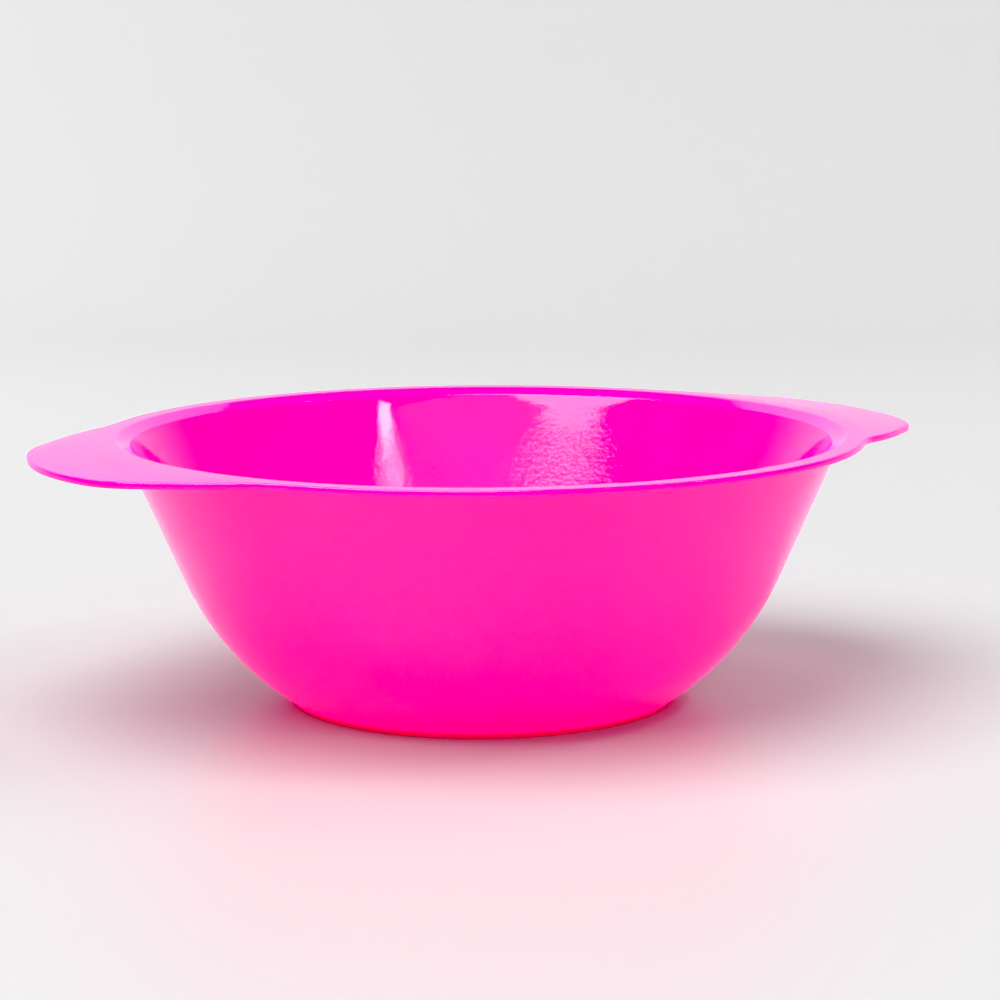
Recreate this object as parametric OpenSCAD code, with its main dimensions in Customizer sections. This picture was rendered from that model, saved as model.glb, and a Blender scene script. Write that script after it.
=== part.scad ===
// Hair color bowl: one round moulding with a flat rim and two grip tabs,
// standing on a soft ring pressed into a groove under the foot.
// Millimetres. The origin is the centre of the footprint, +Z is up and the tabs point along X.

/* [Bowl] */
// Outer diameter of the round rim
rim_d = 140; // [138:1:144]
// Diameter of the mouth at the inner edge of the flat rim
mouth_d = 133; // [132:0.5:135]
// Height from the table to the top of the rim
bowl_h = 49.2; // [47:0.1:52]
// Thickness of the bowl wall and floor
wall = 1.3; // [1.1:0.1:2]

/* [Wall curve] */
// Outer diameter of the wall at its lower edge, just above the table
base_d = 72; // [70:0.5:73]
// Slope of the wall at its lower edge, in degrees
base_slope = 34; // [32:1:36]
// Slope of the wall where the round lower part meets the straighter upper part, in degrees
upper_slope = 66.4; // [65.4:0.1:67.4]
// Radius of the round lower part of the wall, in side view
lower_curve_r = 52.7; // [51:0.1:54]
// Radius of the straighter upper part of the wall, in side view
upper_curve_r = 2600; // [800:100:4000]
// Radius that blends the wall into the floor inside
floor_blend_r = 15; // [8:1:20]

/* [Rim and grip tabs] */
// Thickness of the rim and of the tabs
lip_t = 1.2; // [1:0.1:1.6]
// Distance from the centre of the bowl to the tip of a tab
tab_reach = 83.5; // [80:0.5:88]
// Radius of the rounded tip of a tab, seen from above
tab_tip_r = 54; // [45:1:70]
// Radius of the rounded corners of a tab, seen from above
tab_corner_r = 22; // [14:1:30]
// Angle between the side of a tab and its axis, in degrees
tab_side_angle = 39.5; // [37:0.5:42]
// Distance from the centre of the bowl to the line of a tab's side
tab_side_offset = 67.6; // [66.5:0.1:68.5]
// Radius that blends the side of a tab into the rim
tab_root_r = 30; // [10:1:40]
// How steeply a tab falls outwards, in degrees
tab_fall = 4.3; // [1:0.1:8]

/* [Foot] */
// Height of the gap between the table and the lower edge of the moulding
foot_gap = 1; // [0.6:0.1:1.4]
// Height of the underside of the floor above the table
floor_h = 3; // [2.6:0.1:3.6]
// Inner diameter of the moulded foot
foot_id = 62; // [58:1:63]
// Outer diameter of the soft ring
ring_d = 70.4; // [69.8:0.1:70.6]
// Width of the soft ring
ring_w = 3; // [2.4:0.1:3.2]
// How far the soft ring sits up inside its groove
ring_seat = 1.2; // [0.8:0.1:1.4]
// Rounding of the soft ring's lower edges
ring_edge_r = 0.3; // [0.1:0.05:0.4]

/* [Hidden] */
$fn = 96;
pink = [1, 0.06, 0.64];
red = [0.84, 0.02, 0.24];
arc_step = 4;      // largest turn between two points of an arc, in degrees
lap = 1;           // how far a cutting shape reaches past what it cuts

rim_r = rim_d / 2;
mouth_r = mouth_d / 2;
rim_under = bowl_h - lip_t;

// Centres of the two arcs that make the outside of the wall
lower_c = [base_d / 2 - lower_curve_r * sin(base_slope), foot_gap + lower_curve_r * cos(base_slope)];
upper_c = lower_c - (upper_curve_r - lower_curve_r) * [sin(upper_slope), -cos(upper_slope)];

// Slopes at which the wall reaches the underside of the floor and the underside of the rim
floor_slope = acos((lower_c[1] - floor_h) / lower_curve_r);
outer_top_slope = acos((upper_c[1] - rim_under) / upper_curve_r);
inner_top_slope = acos((upper_c[1] - rim_under) / (upper_curve_r - wall));

// The blend between the wall and the flat floor inside
inner_floor = floor_h + wall;
blend_slope = acos((lower_c[1] - inner_floor - floor_blend_r) / (lower_curve_r - wall - floor_blend_r));
blend_c = lower_c + (lower_curve_r - wall - floor_blend_r) * [sin(blend_slope), -cos(blend_slope)];

// Radius at which the sloping shoulder below the mouth's edge meets the wall inside
shoulder_in = upper_c[0] + (upper_curve_r - wall) * sin(inner_top_slope);

// Centres of the arcs in the outline of a tab, for its side with positive Y
side_out = [sin(tab_side_angle), cos(tab_side_angle)];
side_along = [cos(tab_side_angle), -sin(tab_side_angle)];
tip_c = [tab_reach - tab_tip_r, 0];
corner_off = tab_side_offset - tab_corner_r - side_out[0] * tip_c[0];
corner_c = tip_c + corner_off * side_out + sqrt((tab_tip_r - tab_corner_r) ^ 2 - corner_off ^ 2) * side_along;
root_off = tab_side_offset + tab_root_r;
root_c = root_off * side_out + sqrt((rim_r + tab_root_r) ^ 2 - root_off ^ 2) * side_along;

// Points along an arc. Angles are counter-clockwise from the first axis.
function arc(c, r, from, to) =
    let (steps = max(2, ceil(abs(to - from) / arc_step)))
    [for (i = [0 : steps]) let (a = from + (to - from) * i / steps) c + r * [cos(a), sin(a)]];

// Points along an arc of the wall's section, between two slopes
function wall_arc(c, r, from, to) = arc(c, r, from - 90, to - 90);

// Outline of one side of a tab, from the tip to the rim
function tab_side() =
    let (tip_turn = atan2(corner_c[1], corner_c[0] - tip_c[0]), side_turn = 90 - tab_side_angle)
    concat(
        arc(tip_c, tab_tip_r, 0, tip_turn),
        arc(corner_c, tab_corner_r, tip_turn, side_turn),
        arc(root_c, tab_root_r, side_turn + 180, atan2(root_c[1], root_c[0]) + 180)
    );

function mirrored(points) = [for (i = [len(points) - 1 : -1 : 0]) [points[i][0], -points[i][1]]];

// Wall and floor of the bowl
module bowl_body() {
    color(pink)
    rotate_extrude()
    polygon(concat(
        [[0, floor_h]],
        wall_arc(lower_c, lower_curve_r, floor_slope, upper_slope),
        wall_arc(upper_c, upper_curve_r, upper_slope, outer_top_slope),
        wall_arc(upper_c, upper_curve_r - wall, inner_top_slope, upper_slope),
        wall_arc(lower_c, lower_curve_r - wall, upper_slope, blend_slope),
        wall_arc(blend_c, floor_blend_r, blend_slope, 0),
        [[0, inner_floor]]
    ));
}

// Flat rim with the shoulder that slopes from the mouth's edge down to the wall
module rim_flange() {
    color(pink)
    rotate_extrude()
    polygon([[rim_r, rim_under], [rim_r, bowl_h], [mouth_r, bowl_h], [shoulder_in, rim_under]]);
}

// One grip tab, pointing along +X: a thin falling plate, cut to its outline and to the rim
module grip_tab() {
    half = tab_side();
    tip_fall = (tab_reach - rim_r) * tan(tab_fall);
    color(pink)
    intersection() {
        translate([0, 0, rim_under - tip_fall - lap])
        linear_extrude(lip_t + tip_fall + 2 * lap)
        polygon(concat(half, mirrored(half)));

        rotate_extrude()
        polygon([
            [rim_r, rim_under],
            [tab_reach + lap, rim_under - tip_fall - lap * tan(tab_fall)],
            [tab_reach + lap, bowl_h - tip_fall - lap * tan(tab_fall)],
            [rim_r, bowl_h]
        ]);
    }
}

module right_grip_tab() {
    grip_tab();
}

module left_grip_tab() {
    rotate([0, 0, 180]) grip_tab();
}

// Low moulded foot that carries on the outside of the wall, with the ring's groove
module foot_ring() {
    color(pink)
    difference() {
        rotate_extrude()
        polygon(concat(
            [[foot_id / 2, floor_h], [foot_id / 2, foot_gap]],
            wall_arc(lower_c, lower_curve_r, base_slope, floor_slope)
        ));

        translate([0, 0, foot_gap - lap])
        difference() {
            cylinder(h = ring_seat + lap, d = ring_d);
            translate([0, 0, -lap]) cylinder(h = ring_seat + 3 * lap, d = ring_d - 2 * ring_w);
        }
    }
}

// Soft ring that the bowl stands on
module non_slip_ring() {
    outer = ring_d / 2;
    inner = outer - ring_w;
    color(red)
    rotate_extrude()
    polygon(concat(
        [[outer, foot_gap + ring_seat], [inner, foot_gap + ring_seat]],
        arc([inner + ring_edge_r, ring_edge_r], ring_edge_r, 180, 270),
        arc([outer - ring_edge_r, ring_edge_r], ring_edge_r, 270, 360)
    ));
}

bowl_body();
rim_flange();
left_grip_tab();
right_grip_tab();
foot_ring();
non_slip_ring();
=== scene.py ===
import math

import bmesh
import bpy
import numpy as np
from mathutils import Matrix, Vector


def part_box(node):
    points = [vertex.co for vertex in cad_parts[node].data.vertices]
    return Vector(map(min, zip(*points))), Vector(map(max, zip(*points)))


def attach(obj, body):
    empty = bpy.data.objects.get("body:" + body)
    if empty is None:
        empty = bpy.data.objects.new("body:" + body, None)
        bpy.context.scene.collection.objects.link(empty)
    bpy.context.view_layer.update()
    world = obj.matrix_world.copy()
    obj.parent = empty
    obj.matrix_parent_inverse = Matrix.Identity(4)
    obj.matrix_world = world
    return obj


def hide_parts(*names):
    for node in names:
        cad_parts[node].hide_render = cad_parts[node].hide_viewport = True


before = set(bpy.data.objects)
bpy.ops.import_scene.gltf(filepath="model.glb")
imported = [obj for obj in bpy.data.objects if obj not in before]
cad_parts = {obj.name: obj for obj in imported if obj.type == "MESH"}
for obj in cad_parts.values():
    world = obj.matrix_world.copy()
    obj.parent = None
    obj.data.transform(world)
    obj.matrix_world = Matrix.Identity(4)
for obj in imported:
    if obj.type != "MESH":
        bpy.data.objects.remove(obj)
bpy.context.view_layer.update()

ROOT = "root"

# Sizes of the moulding, in metres, worked out from the frame and from the design's own dimensions
RIM_LOW, RIM_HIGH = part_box("rim_flange")
TAB_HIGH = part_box("right_grip_tab")[1]
RING_LOW, RING_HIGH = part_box("non_slip_ring")
FOOT_LOW, FOOT_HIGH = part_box("foot_ring")
RIM_R = RIM_HIGH.x
TAB_REACH = TAB_HIGH.x
TOP = RIM_HIGH.z
LIP = RIM_HIGH.z - RIM_LOW.z
FLOOR_UNDER = FOOT_HIGH.z
FOOT_GAP = FOOT_LOW.z
GROOVE_TOP = RING_HIGH.z
RING_R = RING_HIGH.x
RING_W = 0.003
FOOT_IN = 0.031
WALL = 0.0013
MOUTH_R = 0.0665

# Small roundings of the moulding, and the mark that its gate leaves under the floor
EDGE_R = 0.0014
CREASE_R = 0.0002
UNDER_R = 0.0008
FOOT_R = 0.00015
FOOT_CORNER_R = 0.0004
GATE_R = 0.0035
GATE_SINK = 0.0003
PIN_R = 0.0008
PIN_H = 0.00025

# The wall's side view: a round lower part and a straighter upper part
BASE_R = 0.036
BASE_SLOPE = math.radians(34)
UPPER_SLOPE = math.radians(66.4)
LOWER_CURVE = 0.0527
UPPER_CURVE = 2.6
FLOOR_BLEND = 0.015

# A tab's outline seen from above, and how steeply it falls
TIP_R = 0.054
CORNER_R = 0.022
SIDE_ANGLE = math.radians(39.5)
SIDE_OFFSET = 0.0676
ROOT_R = 0.030
TAB_FALL = math.tan(math.radians(4.3))

# Points around the moulding's mesh, and the steepest turn between faces that still shades smooth
AROUND = 480
SMOOTH_ANGLE = math.radians(30)
LIP_EDGE = 0.3

# The camera: its place around and above the bowl, its aim, and its lens in millimetres
CAMERA_AZIMUTH = math.radians(-24.75)
CAMERA_DISTANCE = 0.5428
CAMERA_HEIGHT = 0.1240
CAMERA_PITCH = math.radians(9.166)
CAMERA_YAW = math.radians(0.356)
CAMERA_ROLL = math.radians(0.267)
LENS = 107.75
SENSOR = 36

# Fine relief of the pink plastic: noise scale per metre and depth in metres.
# The pits are faint near the rim, above PIT_TOP, and full below PIT_FULL.
WAVE_SCALE = 250
WAVE_DEPTH = 0.000012
PIT_SCALE = 1300
PIT_DEPTH = 0.00005
PIT_TOP = 0.0435
PIT_FULL = 0.034
PIT_FAINT = 0.12

# The emissions are painted glow: the pink plastic glows to stand in for its fluorescence and the light
# that its wall carries, which also lights the floor near the bowl, and the red ring glows too
PAINTED_PINK_GLOW = 0.5
PAINTED_RING_GLOW = 0.4
RING_GRAIN = 0.00003

# The studio: its paper's colour and gloss, and a faint light from all round
PAPER = (0.44, 0.44, 0.443)
PAPER_ROUGHNESS = 0.4
ROOM_GLOW = 0.15
BLACK_LEVEL = 0.02


def polar(angle):
    return np.array([math.cos(angle), math.sin(angle)])


def arc(centre, radius, start, end, steps):
    """Points along an arc, from start to end."""
    return [np.array(centre) + radius * polar(start + (end - start) * i / steps) for i in range(steps + 1)]


def wall_arc(centre, radius, start, end, steps):
    """Points along an arc of the wall's section, between two slopes."""
    return arc(centre, radius, start - math.pi / 2, end - math.pi / 2, steps)


def slope_at(centre, radius, height):
    return math.acos((centre[1] - height) / radius)


def tab_side():
    """Outline of one side of a tab, from its tip to the rim."""
    out = np.array([math.sin(SIDE_ANGLE), math.cos(SIDE_ANGLE)])
    along = np.array([out[1], -out[0]])
    tip = np.array([TAB_REACH - TIP_R, 0.0])
    corner_off = SIDE_OFFSET - CORNER_R - out[0] * tip[0]
    corner = tip + corner_off * out + math.sqrt((TIP_R - CORNER_R) ** 2 - corner_off**2) * along
    root_off = SIDE_OFFSET + ROOT_R
    root = root_off * out + math.sqrt((RIM_R + ROOT_R) ** 2 - root_off**2) * along
    tip_turn = math.atan2(corner[1], corner[0] - tip[0])
    side_turn = math.pi / 2 - SIDE_ANGLE
    return np.array(
        arc(tip, TIP_R, 0, tip_turn, 60)
        + arc(corner, CORNER_R, tip_turn, side_turn, 60)[1:]
        + arc(root, ROOT_R, side_turn + math.pi, math.atan2(root[1], root[0]) + math.pi, 60)
    )


def outline(angles):
    """Points of the whole rim and tab outline at these angles, and the outward normals there."""
    side = tab_side()
    side_angles = np.arctan2(side[:, 1], side[:, 0])
    folded = np.abs((angles + math.pi / 2) % math.pi - math.pi / 2)
    radii = np.interp(folded, side_angles, np.hypot(side[:, 0], side[:, 1]), right=RIM_R)
    points = np.stack([radii * np.cos(angles), radii * np.sin(angles)], -1)
    along = np.roll(points, -1, 0) - np.roll(points, 1, 0)
    normals = np.stack([along[:, 1], -along[:, 0]], -1)
    return points, normals / np.linalg.norm(normals, axis=1)[:, None]


def rounded(points, radii, steps=6):
    """A run of points in which each corner with a radius becomes an arc."""
    points = [np.array(p, float) for p in points]
    run = [points[0]]
    for before, corner, after, radius in zip(points, points[1:], points[2:], radii):
        if radius == 0:
            run.append(corner)
            continue
        back = (before - corner) / np.linalg.norm(before - corner)
        ahead = (after - corner) / np.linalg.norm(after - corner)
        half = math.acos(np.clip(back @ ahead, -1, 1)) / 2
        middle = (back + ahead) / np.linalg.norm(back + ahead)
        centre = corner + middle * radius / math.sin(half)
        start, end = (corner + side * radius / math.tan(half) - centre for side in (back, ahead))
        turn = math.pi - 2 * half
        for i in range(steps + 1):
            t = i / steps
            spoke = math.sin((1 - t) * turn) * start + math.sin(t * turn) * end
            run.append(centre + spoke / math.sin(turn))
    return run + [points[-1]]


def section():
    """The moulding's section as three runs of (radius, height): inside up to the flat of the rim,
    outside from the rim's underside to the foot, and under the floor."""
    base_turn = np.array([-math.sin(BASE_SLOPE), math.cos(BASE_SLOPE)])
    lower = np.array([BASE_R, FOOT_GAP]) + LOWER_CURVE * base_turn
    turn = np.array([math.sin(UPPER_SLOPE), -math.cos(UPPER_SLOPE)])
    upper = lower - (UPPER_CURVE - LOWER_CURVE) * turn
    inner_curve = LOWER_CURVE - WALL
    under = TOP - LIP
    floor_top = FLOOR_UNDER + WALL
    blend_slope = math.acos((lower[1] - floor_top - FLOOR_BLEND) / (inner_curve - FLOOR_BLEND))
    blend = lower + (inner_curve - FLOOR_BLEND) * np.array([math.sin(blend_slope), -math.cos(blend_slope)])
    crease_slope = slope_at(upper, UPPER_CURVE - WALL, under)
    inner_wall = wall_arc(upper, UPPER_CURVE - WALL, UPPER_SLOPE, crease_slope, 12)[1:]
    edge = rounded(
        [inner_wall[-2], inner_wall[-1], (MOUTH_R, TOP), (MOUTH_R + EDGE_R, TOP)],
        (CREASE_R, EDGE_R),
    )
    inside = (
        [np.array([r, floor_top]) for r in np.linspace(PIN_R, blend[0], 8)[:-1]]
        + wall_arc(blend, FLOOR_BLEND, 0, blend_slope, 12)
        + wall_arc(lower, inner_curve, blend_slope, UPPER_SLOPE, 16)[1:]
        + inner_wall[:-2]
        + edge
    )
    top_slope = slope_at(upper, UPPER_CURVE, under)
    outer_wall = wall_arc(upper, UPPER_CURVE, top_slope, UPPER_SLOPE, 14)
    outside = (
        rounded([(outer_wall[0][0] + 2 * UNDER_R, under), outer_wall[0], outer_wall[1]], (UNDER_R,))[:-1]
        + outer_wall[1:]
        + wall_arc(lower, LOWER_CURVE, UPPER_SLOPE, BASE_SLOPE, 24)[1:-1]
    )
    groove_in = RING_R - RING_W
    beneath = rounded(
        [
            outside[-1],
            (BASE_R, FOOT_GAP),
            (RING_R, FOOT_GAP),
            (RING_R, GROOVE_TOP),
            (groove_in, GROOVE_TOP),
            (groove_in, FOOT_GAP),
            (FOOT_IN, FOOT_GAP),
            (FOOT_IN, FLOOR_UNDER),
            (GATE_R + GATE_SINK, FLOOR_UNDER),
            (GATE_R, FLOOR_UNDER + GATE_SINK),
            (PIN_R, FLOOR_UNDER + GATE_SINK),
            (PIN_R, FLOOR_UNDER + GATE_SINK - PIN_H),
            (0.0002, FLOOR_UNDER + GATE_SINK - PIN_H),
        ],
        (FOOT_R, FOOT_R, 0, 0, FOOT_R, FOOT_R, FOOT_CORNER_R, FOOT_R, FOOT_R, FOOT_R, FOOT_R),
        steps=4,
    )[1:]
    return inside, outside, beneath


def lip_rings(points, normals):
    """Rings from the mouth's edge over the rim and tabs and back along their underside to the wall."""
    edge_r = LIP_EDGE * LIP
    reach = np.hypot(points[:, 0], points[:, 1])
    directions = points / reach[:, None]
    rings = []

    def ring(plan, height):
        out = np.hypot(plan[:, 0], plan[:, 1])
        drop = -TAB_FALL * np.maximum(out - RIM_R, 0)
        rings.append(np.column_stack([plan, height + drop]))

    inset = points - normals * edge_r
    start = directions * (MOUTH_R + EDGE_R)
    for t in np.linspace(0, 1, 8)[1:-1]:
        ring(start + (inset - start) * t, TOP)
    for a in np.linspace(90, -90, 13):
        a = math.radians(a)
        flat = LIP / 2 - edge_r
        offset = flat if a > 0 else -flat
        height = TOP - LIP / 2 + offset + edge_r * math.sin(a)
        ring(inset + normals * edge_r * math.cos(a), height)
    return rings


def bowl_moulding():
    """One closed mesh: wall, floor, rim, tabs and foot."""
    count = AROUND
    angles = np.arange(count) * 2 * math.pi / count
    spin = np.stack([np.cos(angles), np.sin(angles)], -1)
    points, normals = outline(angles)
    inside, outside, beneath = section()

    def turned(run):
        return [np.column_stack([spin * r, np.full(count, z)]) for r, z in run]

    rings = turned(inside) + lip_rings(points, normals) + turned(outside) + turned(beneath)
    verts = np.concatenate(rings)
    bm = bmesh.new()
    vs = [bm.verts.new(v) for v in verts]
    for i in range(len(rings) - 1):
        for j in range(count):
            k = (j + 1) % count
            near, far = i * count, (i + 1) * count
            bm.faces.new((vs[near + j], vs[near + k], vs[far + k], vs[far + j]))
    for first, height, flip in ((0, rings[0][0][2], False), (len(rings) - 1, rings[-1][0][2], True)):
        centre = bm.verts.new((0, 0, height))
        for j in range(count):
            a, b = vs[first * count + j], vs[first * count + (j + 1) % count]
            bm.faces.new((centre, a, b) if flip else (centre, b, a))
    bmesh.ops.recalc_face_normals(bm, faces=bm.faces)
    mesh = bpy.data.meshes.new("bowl_moulding")
    bm.to_mesh(mesh)
    bm.free()
    for face in mesh.polygons:
        face.use_smooth = True
    mesh.set_sharp_from_angle(angle=SMOOTH_ANGLE)
    obj = bpy.data.objects.new("bowl_moulding", mesh)
    bpy.context.scene.collection.objects.link(obj)
    return obj


def new_material(name):
    material = bpy.data.materials.new(name)
    material.use_nodes = True
    return material, material.node_tree.nodes, material.node_tree.links


def noise(nodes, links, coordinates, scale, detail=2.0):
    """A noise texture's value over the object's own coordinates."""
    texture = nodes.new("ShaderNodeTexNoise")
    texture.inputs["Scale"].default_value = scale
    texture.inputs["Detail"].default_value = detail
    links.new(coordinates, texture.inputs["Vector"])
    return texture.outputs["Fac"]


def map_range(nodes, links, value, low, high, to_low, to_high):
    node = nodes.new("ShaderNodeMapRange")
    for name, number in (("From Min", low), ("From Max", high), ("To Min", to_low), ("To Max", to_high)):
        node.inputs[name].default_value = number
    links.new(value, node.inputs["Value"])
    return node.outputs["Result"]


def bump(nodes, links, height, distance, below=None, strength=None):
    """A bump of this depth in metres, on top of the bump below it."""
    node = nodes.new("ShaderNodeBump")
    node.inputs["Distance"].default_value = distance
    links.new(height, node.inputs["Height"])
    if below:
        links.new(below, node.inputs["Normal"])
    if strength:
        links.new(strength, node.inputs["Strength"])
    return node.outputs["Normal"]


def pink_plastic():
    """Glossy translucent moulded plastic: smooth near the rim, finely pitted lower down."""
    material, nodes, links = new_material("pink_plastic")
    shader = nodes["Principled BSDF"]
    shader.inputs["IOR"].default_value = 1.49
    shader.inputs["Subsurface Weight"].default_value = 1.0
    shader.inputs["Subsurface Radius"].default_value = (1.0, 0.2, 0.8)
    shader.inputs["Subsurface Scale"].default_value = 0.006
    # Painted glow: the emission makes the plastic glow pink, standing in for fluorescence and for light
    # carried through the wall
    shader.inputs["Emission Color"].default_value = (1.0, 0.0, 0.4, 1)
    shader.inputs["Emission Strength"].default_value = PAINTED_PINK_GLOW

    place = nodes.new("ShaderNodeTexCoord").outputs["Object"]
    split = nodes.new("ShaderNodeSeparateXYZ")
    links.new(place, split.inputs["Vector"])

    cloud = noise(nodes, links, place, 60)
    ramp = nodes.new("ShaderNodeValToRGB")
    ramp.color_ramp.elements[0].position = 0.35
    ramp.color_ramp.elements[0].color = (1.0, 0.0, 0.20, 1)
    ramp.color_ramp.elements[1].position = 0.65
    ramp.color_ramp.elements[1].color = (1.0, 0.0, 0.23, 1)
    links.new(cloud, ramp.inputs["Fac"])
    links.new(ramp.outputs["Color"], shader.inputs["Base Color"])

    gloss = map_range(nodes, links, noise(nodes, links, place, 400), 0.3, 0.7, 0.03, 0.06)
    links.new(gloss, shader.inputs["Roughness"])

    waves = bump(nodes, links, noise(nodes, links, place, WAVE_SCALE, 1.0), WAVE_DEPTH)
    depth = map_range(nodes, links, split.outputs["Z"], PIT_TOP, PIT_FULL, PIT_FAINT, 1.0)
    pits = bump(nodes, links, noise(nodes, links, place, PIT_SCALE, 3.0), PIT_DEPTH, waves, depth)
    links.new(pits, shader.inputs["Normal"])
    return material


def soft_ring_material():
    """Red rubber with a fine matt grain."""
    material, nodes, links = new_material("red_soft_ring")
    shader = nodes["Principled BSDF"]
    shader.inputs["Subsurface Weight"].default_value = 0.6
    shader.inputs["Subsurface Radius"].default_value = (1.0, 0.1, 0.1)
    shader.inputs["Subsurface Scale"].default_value = 0.001
    # Painted glow: the emission makes the red ring glow, even in the shade under the bowl
    shader.inputs["Emission Color"].default_value = (1.0, 0.0, 0.1, 1)
    shader.inputs["Emission Strength"].default_value = PAINTED_RING_GLOW
    place = nodes.new("ShaderNodeTexCoord").outputs["Object"]
    grain = noise(nodes, links, place, 900, 3.0)
    ramp = nodes.new("ShaderNodeValToRGB")
    ramp.color_ramp.elements[0].color = (0.9, 0.0, 0.09, 1)
    ramp.color_ramp.elements[1].color = (1.0, 0.0, 0.13, 1)
    links.new(grain, ramp.inputs["Fac"])
    links.new(ramp.outputs["Color"], shader.inputs["Base Color"])
    links.new(map_range(nodes, links, grain, 0.3, 0.7, 0.4, 0.6), shader.inputs["Roughness"])
    links.new(bump(nodes, links, grain, RING_GRAIN), shader.inputs["Normal"])
    return material


def studio_material(name, colour, roughness):
    material, nodes, links = new_material(name)
    shader = nodes["Principled BSDF"]
    shader.inputs["Base Color"].default_value = (*colour, 1)
    shader.inputs["Roughness"].default_value = roughness
    return material


def sweep():
    """Pale floor that curves up into a backdrop behind the bowl."""
    half = 3.0
    front = -3.0
    back = 0.6
    height = 0.9
    radius = 0.5
    curve = [
        (back + radius * math.sin(a), radius - radius * math.cos(a))
        for a in np.linspace(0, math.pi / 2, 24)
    ]
    path = [(front, 0.0)] + curve + [(back + radius, height)]
    mesh = bpy.data.meshes.new("studio_sweep")
    verts = [(x, y, z) for y, z in path for x in (-half, half)]
    faces = [(2 * i, 2 * i + 1, 2 * i + 3, 2 * i + 2) for i in range(len(path) - 1)]
    mesh.from_pydata(verts, [], faces)
    for face in mesh.polygons:
        face.use_smooth = True
    obj = bpy.data.objects.new("studio_sweep", mesh)
    bpy.context.scene.collection.objects.link(obj)
    mesh.materials.append(studio_material("studio_paper", PAPER, PAPER_ROUGHNESS))
    obj.rotation_euler.z = CAMERA_AZIMUTH
    return obj


def camera():
    data = bpy.data.cameras.new("camera")
    data.lens = LENS
    data.sensor_width = SENSOR
    obj = bpy.data.objects.new("camera", data)
    bpy.context.scene.collection.objects.link(obj)
    turn = Matrix.Rotation(CAMERA_AZIMUTH, 3, "Z")
    look = turn @ Matrix.Rotation(-CAMERA_YAW, 3, "Z")
    tilt = Matrix.Rotation(math.pi / 2 - CAMERA_PITCH, 3, "X") @ Matrix.Rotation(-CAMERA_ROLL, 3, "Z")
    matrix = (look @ tilt).to_4x4()
    matrix.translation = turn @ Vector((0, -CAMERA_DISTANCE, CAMERA_HEIGHT))
    obj.matrix_world = matrix
    bpy.context.scene.camera = obj
    return obj


def from_camera_side(azimuth, elevation, distance):
    """A point seen from the bowl at this azimuth from the camera's own direction."""
    turn = math.radians(azimuth) + CAMERA_AZIMUTH
    rise = math.radians(elevation)
    flat = distance * math.cos(rise)
    return Vector((math.sin(turn) * flat, -math.cos(turn) * flat, distance * math.sin(rise)))


def softbox(
    name, place, size, power, aim=(0, 0, 0.025), shape="RECTANGLE", glossy=True
):
    """An area light at (azimuth, elevation, distance) from the bowl, facing the point aim.
    One that isn't glossy lights surfaces but doesn't show as a reflection in them."""
    data = bpy.data.lights.new(name, "AREA")
    data.shape = shape
    data.size, data.size_y = size
    data.energy = power
    obj = bpy.data.objects.new(name, data)
    bpy.context.scene.collection.objects.link(obj)
    obj.visible_glossy = glossy
    target = Matrix.Rotation(CAMERA_AZIMUTH, 3, "Z") @ Vector(aim)
    obj.location = from_camera_side(*place)
    obj.rotation_euler = (obj.location - target).to_track_quat("Z", "Y").to_euler()
    return obj


def surroundings():
    """A faint even light, so that no side of the studio is black."""
    world = bpy.data.worlds.new("world")
    bpy.context.scene.world = world
    world.use_nodes = True
    background = world.node_tree.nodes["Background"]
    background.inputs["Color"].default_value = (0.95, 0.96, 1.0, 1)
    background.inputs["Strength"].default_value = ROOM_GLOW


camera()
bowl = bowl_moulding()
bowl.data.materials.append(pink_plastic())
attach(bowl, ROOT)
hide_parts("bowl_body", "rim_flange", "left_grip_tab", "right_grip_tab", "foot_ring")

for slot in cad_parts["non_slip_ring"].material_slots:
    slot.material = soft_ring_material()

sweep()
softbox("main_light", (-46.5, 66, 1.5), (1.6, 1.6), 41, shape="ELLIPSE")
softbox("strip_light", (40, 37, 1.2), (0.075, 0.2), 0.75)
softbox("room_light", (0, 36, 1.6), (4.2, 0.5), 5.5)
softbox("glint_light", (78, 50, 1.2), (0.3, 0.12), 2.5)
softbox("fill_light", (120, 52, 1.4), (1.0, 0.8), 7, glossy=False)
softbox("backdrop_light", (-125, 18, 0.9), (0.7, 0.4), 3.2, aim=(-0.3, 1.0, 0.2), glossy=False)
softbox("backdrop_fill", (125, 22, 0.9), (0.7, 0.4), 1.2, aim=(0.3, 1.0, 0.3), glossy=False)
surroundings()
scene = bpy.context.scene
scene.view_settings.view_transform = "Standard"
scene.view_settings.look = "None"
scene.view_settings.use_curve_mapping = True
scene.view_settings.curve_mapping.black_level = (BLACK_LEVEL, BLACK_LEVEL, BLACK_LEVEL)
